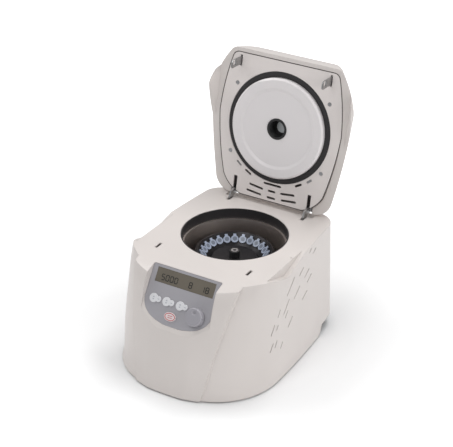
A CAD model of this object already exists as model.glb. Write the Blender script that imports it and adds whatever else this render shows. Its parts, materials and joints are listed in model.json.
# %% [markdown]
# # A bench microcentrifuge with its lid open
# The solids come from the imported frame. This lesson gives each of them a surface, adds the small
# printed and moulded details that are too fine for solids, and lights the object on white. Keeping
# the solids as they are, and only dressing them, means that every joint still works afterwards.

import json
import math

import bpy
import numpy as np
from mathutils import Matrix, Vector


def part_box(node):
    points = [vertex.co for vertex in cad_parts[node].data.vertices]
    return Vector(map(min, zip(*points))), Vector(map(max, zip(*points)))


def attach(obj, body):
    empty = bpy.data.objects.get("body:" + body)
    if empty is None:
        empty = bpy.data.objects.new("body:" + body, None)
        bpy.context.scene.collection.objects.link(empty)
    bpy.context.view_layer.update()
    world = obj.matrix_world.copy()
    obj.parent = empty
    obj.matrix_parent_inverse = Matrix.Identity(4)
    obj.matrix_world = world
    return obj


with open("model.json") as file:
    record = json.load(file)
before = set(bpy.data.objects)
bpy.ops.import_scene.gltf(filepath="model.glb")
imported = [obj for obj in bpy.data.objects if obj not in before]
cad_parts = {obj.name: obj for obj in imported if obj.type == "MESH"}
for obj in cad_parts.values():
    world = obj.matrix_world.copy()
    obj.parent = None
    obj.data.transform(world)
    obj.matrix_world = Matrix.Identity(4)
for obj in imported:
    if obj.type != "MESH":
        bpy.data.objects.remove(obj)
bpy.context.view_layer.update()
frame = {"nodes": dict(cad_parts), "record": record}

# %% [markdown]
# Everything that is added has to sit on the solids, so its place is worked out from them. The seal
# in the chamber's mouth gives the rotor's axis and the deck's height. The control panel is a plane
# that starts in front of the mouth and leans back, and its details are laid out on it in
# millimetres: x across it, and the drop down its slope.

# %% Places
MM = 0.001
SEAL_BELOW_DECK = 1 * MM
PANEL_REACH = 144.6 * MM
PANEL_LEAN = 0.643

seal_low, seal_high = (Vector(corner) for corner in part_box("mouth_seal"))
AXIS_X = (seal_low.x + seal_high.x) / 2
AXIS_Y = (seal_low.y + seal_high.y) / 2
DECK_Z = seal_high.z + SEAL_BELOW_DECK
PANEL_TOP = Vector((AXIS_X, AXIS_Y - PANEL_REACH, DECK_Z))
PANEL_OUT = Vector((0, -1, PANEL_LEAN)).normalized()
PANEL_UP = Vector((0, PANEL_LEAN, 1)).normalized()


def on_panel(x, drop, height):
    """The panel's top middle, plus x across, minus the drop along the slope, plus the height out of it."""
    return PANEL_TOP + Vector((x * MM, 0, 0)) - PANEL_UP * drop * MM + PANEL_OUT * height * MM


print("rotor axis at", round(AXIS_X, 4), round(AXIS_Y, 4), "deck at", round(DECK_Z, 4))

# %% [markdown]
# Moulded plastic, rubber and steel differ in colour, gloss and grain, but none of them is perfectly
# even. One recipe serves them all: a slow noise shifts the colour a little, and a fine noise shifts
# the gloss and lifts the surface by a hair. The noises use the object's own coordinates, so the
# pattern stays on the piece when it moves. Steel gets its brushed or turned grain by stretching
# them. Moulded edges are never knife-sharp, so a Bevel node rounds how they catch the light.

# %% The recipe for a surface
SLOW_SCALE = 14.0
BUMP_REACH = 0.5 * MM
GLOSS_SPREAD = 0.15
EDGE_SAMPLES = 8
COAT_ROUGHNESS = 0.12


def surface(name, colour, roughness, metallic=0.0, drift=0.03, grain=900.0, lift=0.02,
            stretch=(1, 1, 1), coat=0.0, edge=0.0):
    """The colour times one plus or minus the drift, and the roughness within the gloss spread."""
    material = bpy.data.materials.new(name)
    material.use_nodes = True
    tree = material.node_tree
    shader = tree.nodes["Principled BSDF"]
    place = tree.nodes.new("ShaderNodeTexCoord")
    scale = tree.nodes.new("ShaderNodeMapping")
    scale.inputs["Scale"].default_value = stretch
    tree.links.new(place.outputs["Object"], scale.inputs["Vector"])
    slow = tree.nodes.new("ShaderNodeTexNoise")
    slow.inputs["Scale"].default_value = SLOW_SCALE
    fine = tree.nodes.new("ShaderNodeTexNoise")
    fine.inputs["Scale"].default_value = grain
    for noise in (slow, fine):
        tree.links.new(scale.outputs["Vector"], noise.inputs["Vector"])
    tint = tree.nodes.new("ShaderNodeValToRGB")
    low, high = tint.color_ramp.elements
    low.position, high.position = 0.3, 0.7
    low.color = [c * (1 - drift) for c in colour] + [1]
    high.color = [min(1.0, c * (1 + drift)) for c in colour] + [1]
    tree.links.new(slow.outputs["Fac"], tint.inputs["Fac"])
    tree.links.new(tint.outputs["Color"], shader.inputs["Base Color"])
    sheen = tree.nodes.new("ShaderNodeMapRange")
    sheen.inputs["To Min"].default_value = roughness * (1 - GLOSS_SPREAD)
    sheen.inputs["To Max"].default_value = min(1.0, roughness * (1 + GLOSS_SPREAD))
    tree.links.new(fine.outputs["Fac"], sheen.inputs["Value"])
    tree.links.new(sheen.outputs["Result"], shader.inputs["Roughness"])
    bump = tree.nodes.new("ShaderNodeBump")
    bump.inputs["Strength"].default_value = lift
    bump.inputs["Distance"].default_value = BUMP_REACH
    tree.links.new(fine.outputs["Fac"], bump.inputs["Height"])
    tree.links.new(bump.outputs["Normal"], shader.inputs["Normal"])
    if edge:
        rounding = tree.nodes.new("ShaderNodeBevel")
        rounding.samples = EDGE_SAMPLES
        rounding.inputs["Radius"].default_value = edge
        tree.links.new(rounding.outputs["Normal"], bump.inputs["Normal"])
    shader.inputs["Metallic"].default_value = metallic
    shader.inputs["Coat Weight"].default_value = coat
    shader.inputs["Coat Roughness"].default_value = COAT_ROUGHNESS
    return material


# %% [markdown]
# The housing and the lid are one warm off-white moulding. The lid's inside is a shade lighter, and
# its dish is a smoother, cleaner white. These three are what the eye sees most, so they get the
# rounded edges and a thin coat, and hardly any drift.

# %% White mouldings
LOOKS = {}


def look(name, *values, **more):
    """Makes one surface and keeps it under its name."""
    LOOKS[name] = surface(name, *values, **more)


MOULDED = {"drift": 0.012, "lift": 0.01}
look("white_moulding", (0.70, 0.65, 0.62), 0.36, coat=0.15, edge=2.0 * MM, **MOULDED)
look("white_inner", (0.78, 0.725, 0.70), 0.36, coat=0.15, edge=1.0 * MM, **MOULDED)
look("dish_white", (0.80, 0.765, 0.765), 0.3, coat=0.2, **MOULDED)
look("key_white", (0.72, 0.72, 0.74), 0.4, drift=0.015)
look("start_key_white", (0.74, 0.66, 0.66), 0.4, drift=0.015)

# %% [markdown]
# The control panel is a matt grey sheet round a dull olive display window. The knob is the same grey
# with a thin coat. The window is shown as an unlit display: a smooth, slightly uneven dark olive.

# %% Control panel
look("fascia_grey", (0.37, 0.36, 0.385), 0.42, drift=0.02, lift=0.03)
look("window_clear", (0.155, 0.135, 0.105), 0.16, drift=0.08, lift=0.0, coat=0.5)
look("display_glass", (0.16, 0.15, 0.11), 0.3)
look("knob_grey", (0.34, 0.33, 0.36), 0.34, drift=0.02, coat=0.2)

# %% [markdown]
# Rubber and dark plastic are near black. Rubber is rougher, and its bump is stronger.

# %% Rubber and dark plastic
look("seal_rubber", (0.022, 0.02, 0.021), 0.55, drift=0.1, lift=0.05)
look("foot_rubber", (0.014, 0.014, 0.014), 0.8, lift=0.2)
look("black_tray", (0.018, 0.018, 0.02), 0.45)
look("switch_black", (0.02, 0.02, 0.022), 0.5)
look("fan_black", (0.02, 0.02, 0.022), 0.5)
look("sight_black", (0.016, 0.015, 0.016), 0.42)
look("nut_black", (0.018, 0.018, 0.018), 0.35)
look("sight_glass", (0.75, 0.77, 0.78), 0.12, drift=0.02, lift=0.0, coat=0.6)

# %% [markdown]
# The bowl and the rotor are turned, so their grain runs round them: the noise is squeezed along the
# axis. Arms, hooks and the lid's frame are brushed, so theirs is squeezed across. The bowl is a
# fairly rough, bright steel, because a mirror there would only show the dark seal and rotor.

# %% Metals and what is hidden inside
TURNED = {"grain": 160, "stretch": (1, 1, 40)}
BRUSHED = {"grain": 200, "stretch": (30, 1, 1)}
look("bowl_steel", (0.86, 0.76, 0.70), 0.42, metallic=1.0, lift=0.05, **TURNED)
look("rotor_alloy", (0.03, 0.028, 0.03), 0.34, metallic=0.6, **TURNED)
look("arm_steel", (0.5, 0.5, 0.5), 0.3, metallic=1.0, lift=0.05, **BRUSHED)
look("frame_steel", (0.42, 0.42, 0.43), 0.34, metallic=1.0, **BRUSHED)
look("hook_steel", (0.4, 0.4, 0.4), 0.3, metallic=1.0, **BRUSHED)
look("fastener_steel", (0.45, 0.45, 0.46), 0.32, metallic=1.0)
look("bearing_steel", (0.6, 0.6, 0.61), 0.2, metallic=1.0)
look("stand_steel", (0.3, 0.3, 0.31), 0.4, metallic=1.0)
look("pin_brass", (0.6, 0.42, 0.16), 0.3, metallic=1.0)
look("stator_iron", (0.16, 0.15, 0.14), 0.6, metallic=0.7, drift=0.15)
look("magnet_black", (0.05, 0.05, 0.055), 0.45, metallic=0.5)
look("motor_paint", (0.03, 0.03, 0.035), 0.4)
look("coil_yellow", (0.35, 0.3, 0.12), 0.45)
look("board_green", (0.02, 0.12, 0.05), 0.5, drift=0.15)

# %% [markdown]
# The tubes are pale blue, and each cap has a darker, sunken middle. Modelling 24 sunken caps would
# work too, but the caps stand evenly on one circle, so a few Math nodes find the nearest cap's
# middle from the angle and the distance to the axis, and a soft-edged disc there is darkened.

# %% Caps with dark middles
look("tube_blue", (0.38, 0.43, 0.54), 0.35, drift=0.12, coat=0.3)
CAP_CIRCLE, CAP_COUNT = 52.2 * MM, 24
CAP_MIDDLE = 4.0 * MM
CAP_DARKENING = 0.55
CAP_TILT_STRETCH = math.sqrt(2)


def math_node(tree, operation, first, second=None):
    """One Math node: its two inputs are sockets or plain numbers."""
    node = tree.nodes.new("ShaderNodeMath")
    node.operation = operation
    for slot, value in enumerate((first, second)):
        if isinstance(value, bpy.types.NodeSocket):
            tree.links.new(value, node.inputs[slot])
        elif value is not None:
            node.inputs[slot].default_value = value
    return node.outputs["Value"]


def dim_middles(material, circle, count, radius, depth):
    """The colour times one minus the depth, inside the radius round the nearest of count points on a circle."""
    tree = material.node_tree
    shader = tree.nodes["Principled BSDF"]
    colour = shader.inputs["Base Color"].links[0].from_socket
    parts = tree.nodes.new("ShaderNodeSeparateXYZ")
    place = next(node for node in tree.nodes if node.bl_idname == "ShaderNodeTexCoord")
    tree.links.new(place.outputs["Object"], parts.inputs["Vector"])
    x = math_node(tree, "SUBTRACT", parts.outputs["X"], AXIS_X)
    y = math_node(tree, "SUBTRACT", parts.outputs["Y"], AXIS_Y)
    squares = [math_node(tree, "MULTIPLY", value, value) for value in (x, y)]
    reach = math_node(tree, "SQRT", math_node(tree, "ADD", *squares))
    share = math_node(tree, "MULTIPLY", math_node(tree, "ARCTAN2", y, x), count / (2 * math.pi))
    beside = math_node(tree, "SUBTRACT", share, math_node(tree, "ROUND", share))
    sideways = math_node(tree, "MULTIPLY", beside, 2 * math.pi * circle / count)
    outwards = math_node(tree, "MULTIPLY", math_node(tree, "SUBTRACT", reach, circle), CAP_TILT_STRETCH)
    squares = [math_node(tree, "MULTIPLY", value, value) for value in (sideways, outwards)]
    fade = tree.nodes.new("ShaderNodeMapRange")
    fade.interpolation_type = "SMOOTHSTEP"
    fade.inputs["From Min"].default_value = radius * 0.8
    fade.inputs["From Max"].default_value = radius * 1.15
    fade.inputs["To Min"].default_value = 1 - depth
    fade.inputs["To Max"].default_value = 1.0
    tree.links.new(math_node(tree, "SQRT", math_node(tree, "ADD", *squares)), fade.inputs["Value"])
    dimmed = tree.nodes.new("ShaderNodeVectorMath")
    dimmed.operation = "SCALE"
    tree.links.new(colour, dimmed.inputs[0])
    tree.links.new(fade.outputs["Result"], dimmed.inputs["Scale"])
    tree.links.new(dimmed.outputs["Vector"], shader.inputs["Base Color"])


dim_middles(LOOKS["tube_blue"], CAP_CIRCLE, CAP_COUNT, CAP_MIDDLE, CAP_DARKENING)

# %% [markdown]
# The record names a slot for each node, and the surfaces above carry the slots' names. Assigning
# them in one loop leaves no node out. Only the lid's inner panel has a look of its own.

# %% Dress the nodes
OWN_LOOK = {"lid_panel": "white_inner"}
slot_of = {row["node"]: row["material_slot"] for row in frame["record"]["subparts"]}
for name, node in frame["nodes"].items():
    node.data.materials.clear()
    node.data.materials.append(LOOKS[OWN_LOOK.get(name, slot_of[name])])
print("surfaces:", len(LOOKS), "for", len(slot_of), "nodes")

# %% [markdown]
# Print is a film of ink. It could be an image, but an image has to be drawn and mapped first. A thin
# closed plate for each stroke is simpler, stays sharp at any size and moves with its key. The
# plates start just under the face that carries them, so no gap shows at a low angle.

# %% Thin plates on the panel


def wall(first, second, count):
    """The quads between two closed rows of points, facing away from the clockwise outline they follow."""
    return [(first + (i + 1) % count, first + i, second + i, second + (i + 1) % count) for i in range(count)]


def new_piece(name, points, faces, material):
    """A mesh object at the origin, from its corners and faces."""
    mesh = bpy.data.meshes.new(name)
    mesh.from_pydata([tuple(map(float, p)) for p in points], [], faces)
    mesh.validate()
    mesh.materials.append(material)
    piece = bpy.data.objects.new(name, mesh)
    bpy.context.collection.objects.link(piece)
    print(name, len(points), "corners")
    return piece


def plates(name, outlines, levels, material, body="base", rings=()):
    """One closed plate per outline, and one with a hole per ring: corners at two levels, joined by walls."""
    points, faces = [], []
    for outline in outlines:
        start, count = len(points), len(outline)
        points += [on_panel(x, drop, level) for level in levels for x, drop in outline]
        faces.append(list(range(start, start + count)))
        faces.append(list(reversed(range(start + count, start + 2 * count))))
        faces += wall(start, start + count, count)
    for outer, inner in rings:
        start, count = len(points), len(outer)
        points += [on_panel(x, drop, level) for row in (outer, inner) for level in levels for x, drop in row]
        outer_low, outer_high, inner_low, inner_high = (start + row * count for row in range(4))
        faces += wall(outer_low, outer_high, count) + wall(outer_high, inner_high, count)
        faces += wall(inner_high, inner_low, count) + wall(inner_low, outer_low, count)
    piece = new_piece(name, points, faces, material)
    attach(piece, body)


def bar(x0, drop0, x1, drop1, width):
    """A straight bar from point to point, each end brought to a tip half a width long."""
    length = math.hypot(x1 - x0, drop1 - drop0)
    along = ((x1 - x0) / length, (drop1 - drop0) / length)
    side = (-along[1] * width / 2, along[0] * width / 2)
    tip = width / 2
    corners = [(0, 0), (tip, -1), (length - tip, -1), (length, 0), (length - tip, 1), (tip, 1)]
    return [(x0 + along[0] * a + side[0] * b, drop0 + along[1] * a + side[1] * b) for a, b in corners]


def oval(x, drop, half_width, half_height, steps=28):
    """Cosine times the half width and sine times the half height, clockwise seen from outside the panel."""
    turns = [2 * math.pi * i / steps for i in range(steps)]
    return [(x + half_width * math.cos(t), drop + half_height * math.sin(t)) for t in turns]


# %% [markdown]
# The display shows a speed, a time and a setting in seven-segment figures. On the real display each
# segment is its own electrode, so each is its own bar here: a figure is the list of lit segments
# between the six corners of its cell.

# %% Figures on the display
INK = surface("display_ink", (0.004, 0.004, 0.004), 0.7, drift=0.2)
CORNERS = {"tl": (0, 0), "tr": (1, 0), "ml": (0, 1), "mr": (1, 1), "bl": (0, 2), "br": (1, 2)}
SEGMENTS = {"top": ("tl", "tr"), "mid": ("ml", "mr"), "low": ("bl", "br"), "tl": ("tl", "ml"),
            "tr": ("tr", "mr"), "bl": ("ml", "bl"), "br": ("mr", "br")}
LIT = {"0": "top low tl tr bl br", "1": "tr br", "5": "top mid low tl br", "8": "top mid low tl tr bl br"}
FIGURE_WIDTH, FIGURE_HALF, FIGURE_STEP = 5.2, 4.6, 8.2
FIGURES_DROP = 18.6
SEGMENT_WIDTH = 1.5
WINDOW_FACE = -0.3
WINDOW_INK = (WINDOW_FACE - 0.05, WINDOW_FACE + 0.06)
READINGS = {"5000": -44, "8": 8, "18": 31}


def figures(text, x):
    """The lit segments of a short number, starting at x."""
    lit = []
    for i, figure in enumerate(text):
        left = x + i * FIGURE_STEP
        for part in LIT[figure].split():
            (ax, ay), (bx, by) = (CORNERS[c] for c in SEGMENTS[part])
            lit.append(bar(left + ax * FIGURE_WIDTH, FIGURES_DROP + ay * FIGURE_HALF,
                           left + bx * FIGURE_WIDTH, FIGURES_DROP + by * FIGURE_HALF, SEGMENT_WIDTH))
    return lit


plates("display_figures", [part for text, x in READINGS.items() for part in figures(text, x)], WINDOW_INK, INK)

# %% [markdown]
# Each of the three white keys has a faint pair of arrows on its round end and a dash on its lobe. The
# start key has a red ring and two red strokes. Each print rides on its own key, so it sinks with it.

# %% Marks on the keys
PRINT_GREY = surface("print_grey", (0.42, 0.43, 0.47), 0.5)
PRINT_RED = surface("print_red", (0.5, 0.05, 0.06), 0.5)
KEY_FACE, KEY_DROP = 1.6, 59.6
KEY_INK = (KEY_FACE - 0.04, KEY_FACE + 0.06)
KEY_PLACES = (-47.0, -22.3, 3.4)
ARROW_HALF, ARROW_NEAR, ARROW_FAR = 1.8, 1.0, 3.4
DASH_START, DASH_END, STROKE = 7.6, 11.6, 0.9
START_X, START_DROP = -8.5, 81.3
START_STROKE_HALF, START_STROKE_DROP = 4.5, 1.6
RING_WIDTHS, RING_HEIGHTS = (9.6, 8.5), (6.2, 5.1)

for number, x in enumerate(KEY_PLACES, start=1):
    up_mark = [(x - ARROW_HALF, KEY_DROP - ARROW_NEAR), (x, KEY_DROP - ARROW_FAR),
               (x + ARROW_HALF, KEY_DROP - ARROW_NEAR)]
    down_mark = [(x - ARROW_HALF, KEY_DROP + ARROW_NEAR), (x + ARROW_HALF, KEY_DROP + ARROW_NEAR),
                 (x, KEY_DROP + ARROW_FAR)]
    dash = bar(x + DASH_START, KEY_DROP, x + DASH_END, KEY_DROP, STROKE)
    plates(f"key_mark_{number}", [up_mark, down_mark, dash], KEY_INK, PRINT_GREY, f"key_{number}")

strokes = [bar(START_X - START_STROKE_HALF, START_DROP + dy, START_X + START_STROKE_HALF, START_DROP + dy, STROKE)
           for dy in (-START_STROKE_DROP, START_STROKE_DROP)]
ring = [oval(START_X, START_DROP, *halves) for halves in zip(RING_WIDTHS, RING_HEIGHTS)]
plates("start_key_ring", strokes, KEY_INK, PRINT_RED, "start_key", [ring])

# %% [markdown]
# A dark seam runs round the lid's inner panel, where it meets the shell. Its path could be typed in,
# but the panel already has it: seen square to the panel, the hull of the panel's own corners is the
# path. The panel is flat, so the direction in which its corners spread least is square to it.

# %% The panel's plane and outline
panel_mesh = frame["nodes"]["lid_panel"].data
corners = np.empty(3 * len(panel_mesh.vertices))
panel_mesh.vertices.foreach_get("co", corners)
corners = corners.reshape(-1, 3)
middle = (corners.min(0) + corners.max(0)) / 2
across = np.array([1.0, 0.0, 0.0])
facing = np.linalg.svd(corners - corners.mean(0), full_matrices=False)[2][2]
facing *= -np.sign(facing[1])
upward = np.cross(facing, across)
face = ((corners - middle) @ facing).max()


def hull(points):
    """The convex outline of flat points, counterclockwise, by the monotone chain."""
    points = sorted(set(map(tuple, points)))
    halves = []
    for row in (points, points[::-1]):
        half = []
        for p in row:
            while len(half) > 1 and ((half[-1][0] - half[-2][0]) * (p[1] - half[-2][1])
                                     - (half[-1][1] - half[-2][1]) * (p[0] - half[-2][0])) <= 0:
                half.pop()
            half.append(p)
        halves += half[:-1]
    return np.array(halves)


outline = hull(np.round(np.stack([(corners - middle) @ across, (corners - middle) @ upward], 1), 6))
print("the lid panel's outline has", len(outline), "corners")

# %% Seam round the lid's inner panel
SEAM_WIDTH, SEAM_HEIGHT = 1.3 * MM, 0.2 * MM
SEAM_SECTION = ((-0.5, -1), (-0.5, 1), (0.5, 1), (0.5, -1))


def band(outline, width, height):
    """The outline moved sideways by the width, and out of the panel by the height, at each section corner."""
    steps = np.roll(outline, -1, 0) - outline
    normals = np.stack([steps[:, 1], -steps[:, 0]], 1) / np.linalg.norm(steps, axis=1)[:, None]
    sides = normals + np.roll(normals, 1, 0)
    sides /= np.linalg.norm(sides, axis=1)[:, None]
    rows = []
    for sideways, level in SEAM_SECTION:
        flat = outline + sides * width * sideways
        rows.append(middle + flat[:, :1] * across + flat[:, 1:] * upward + (face + height * level) * facing)
    count, around = len(outline), len(SEAM_SECTION)
    quads = [(a * count + i, a * count + (i + 1) % count,
              (a + 1) % around * count + (i + 1) % count, (a + 1) % around * count + i)
             for a in range(around) for i in range(count)]
    return np.concatenate(rows), quads


SEAM_BROWN = surface("seam_brown", (0.05, 0.04, 0.038), 0.6)
seam = new_piece("lid_seam", *band(outline, SEAM_WIDTH, SEAM_HEIGHT), SEAM_BROWN)
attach(seam, "lid")

# %% [markdown]
# The photograph is a cut-out on white: only a soft shadow ties the object to the ground. The floor
# is a wide white sheet. Near the object its brightness is what the lamps give it, so the shadow
# stays. Further out, a glow that only the camera sees lifts it to full white.

# %% Floor
FLOOR_HALF = 6.0
FLOOR_GLOW = 0.6
GLOW_START, GLOW_END = 0.2, 0.75
floor_mesh = bpy.data.meshes.new("floor")
square = [(-1, -1), (1, -1), (1, 1), (-1, 1)]
floor_mesh.from_pydata([(x * FLOOR_HALF, y * FLOOR_HALF, 0) for x, y in square], [], [(0, 1, 2, 3)])
floor = bpy.data.objects.new("floor", floor_mesh)
bpy.context.collection.objects.link(floor)
floor_white = surface("floor_white", (0.93, 0.93, 0.93), 0.9, drift=0.002, lift=0.0)
floor_tree = floor_white.node_tree
floor_shader = floor_tree.nodes["Principled BSDF"]
floor_shader.inputs["Specular IOR Level"].default_value = 0.0
floor_shader.inputs["Emission Color"].default_value = (1, 1, 0.985, 1)
seen = floor_tree.nodes.new("ShaderNodeLightPath")
spot = floor_tree.nodes.new("ShaderNodeTexCoord")
away = floor_tree.nodes.new("ShaderNodeVectorMath")
away.operation = "LENGTH"
fade = floor_tree.nodes.new("ShaderNodeMapRange")
fade.inputs["From Min"].default_value = GLOW_START
fade.inputs["From Max"].default_value = GLOW_END
fade.inputs["To Max"].default_value = FLOOR_GLOW
floor_tree.links.new(spot.outputs["Object"], away.inputs[0])
floor_tree.links.new(away.outputs["Value"], fade.inputs["Value"])
glow = math_node(floor_tree, "MULTIPLY", seen.outputs["Is Camera Ray"], fade.outputs["Result"])
floor_tree.links.new(glow, floor_shader.inputs["Emission Strength"])
floor_mesh.materials.append(floor_white)
print("floor", 2 * FLOOR_HALF, "m wide")

# %% [markdown]
# The surroundings do two jobs. For the camera they are pure white. For everything else they are a
# dim, slightly cool sky, which keeps the shaded sides from going dark without flattening the form.

# %% Surroundings
SKY_STRENGTH = 0.36
world = bpy.data.worlds.new("surroundings")
bpy.context.scene.world = world
world.use_nodes = True
tree = world.node_tree
sky = tree.nodes["Background"]
sky.inputs["Color"].default_value = (0.97, 0.98, 1.0, 1)
sky.inputs["Strength"].default_value = SKY_STRENGTH
white = tree.nodes.new("ShaderNodeBackground")
white.inputs["Color"].default_value = (1, 1, 1, 1)
white.inputs["Strength"].default_value = 1.0
rays = tree.nodes.new("ShaderNodeLightPath")
mix = tree.nodes.new("ShaderNodeMixShader")
tree.links.new(rays.outputs["Is Camera Ray"], mix.inputs["Fac"])
tree.links.new(sky.outputs["Background"], mix.inputs[1])
tree.links.new(white.outputs["Background"], mix.inputs[2])
tree.links.new(mix.outputs["Shader"], tree.nodes["World Output"].inputs["Surface"])
print("sky strength", SKY_STRENGTH)

# %% [markdown]
# A studio lights such an object with large soft boxes. Here one stands at the left, one above and
# behind, which draws the shadow forwards, one at the right, and a high one in front for the lid's
# inside. Square area lamps do the same, and each looks at the middle of the object.

# %% Lamps
AIM = Vector((0, 0, 0.15))


def lamp(name, place, size, watts):
    """A square soft lamp that looks at the middle of the object."""
    light = bpy.data.lights.new(name, "AREA")
    light.size = size
    light.energy = watts
    holder = bpy.data.objects.new(name, light)
    bpy.context.collection.objects.link(holder)
    turn = (Vector(place) - AIM).to_track_quat("Z", "Y").to_matrix().to_4x4()
    holder.matrix_world = Matrix.Translation(place) @ turn
    print(name, watts, "W")


lamp("key_lamp", (-1.5, -0.1, 1.9), 1.2, 14)
lamp("top_lamp", (0.2, 0.9, 2.3), 0.9, 20)
lamp("side_lamp", (2.3, -0.3, 1.2), 1.2, 19)
lamp("front_lamp", (-0.2, -1.6, 2.1), 1.0, 12)

# %% [markdown]
# The camera stands where the photograph was taken from. Its direction, its distance in radii of the
# chamber's mouth, a small shift sideways and upwards, and its roll were worked out from the outlines
# of the mouth and the lid. Giving it as a direction and a distance keeps those numbers readable.

# %% Camera
MOUTH_RADIUS = 91 * MM
AZIMUTH, ELEVATION, ROLL = math.radians(30.55), math.radians(28.42), math.radians(0.575)
CAMERA_BACK, CAMERA_RIGHT, CAMERA_UP = 27.24, -0.1548, 0.1747
LENS, SENSOR = 117.26, 36.0
CLIP_END = 50.0
level = math.cos(ELEVATION)
back = Vector((math.sin(AZIMUTH) * level, -math.cos(AZIMUTH) * level, math.sin(ELEVATION)))
right = Vector((math.cos(AZIMUTH), math.sin(AZIMUTH), 0))
up = back.cross(right)
offset = CAMERA_BACK * back + CAMERA_RIGHT * right + CAMERA_UP * up
eye = Vector((AXIS_X, AXIS_Y, DECK_Z)) + MOUTH_RADIUS * offset
turned_right = right * math.cos(ROLL) + up * math.sin(ROLL)
turned_up = up * math.cos(ROLL) - right * math.sin(ROLL)
camera_data = bpy.data.cameras.new("camera")
camera_data.lens = LENS
camera_data.sensor_width = SENSOR
camera_data.clip_end = CLIP_END
camera = bpy.data.objects.new("camera", camera_data)
bpy.context.collection.objects.link(camera)
turn = Matrix((turned_right, turned_up, back)).transposed().to_4x4()
camera.matrix_world = Matrix.Translation(eye) @ turn
bpy.context.scene.camera = camera
bpy.context.scene.view_settings.view_transform = "Standard"
print("camera at", [round(c, 3) for c in eye])
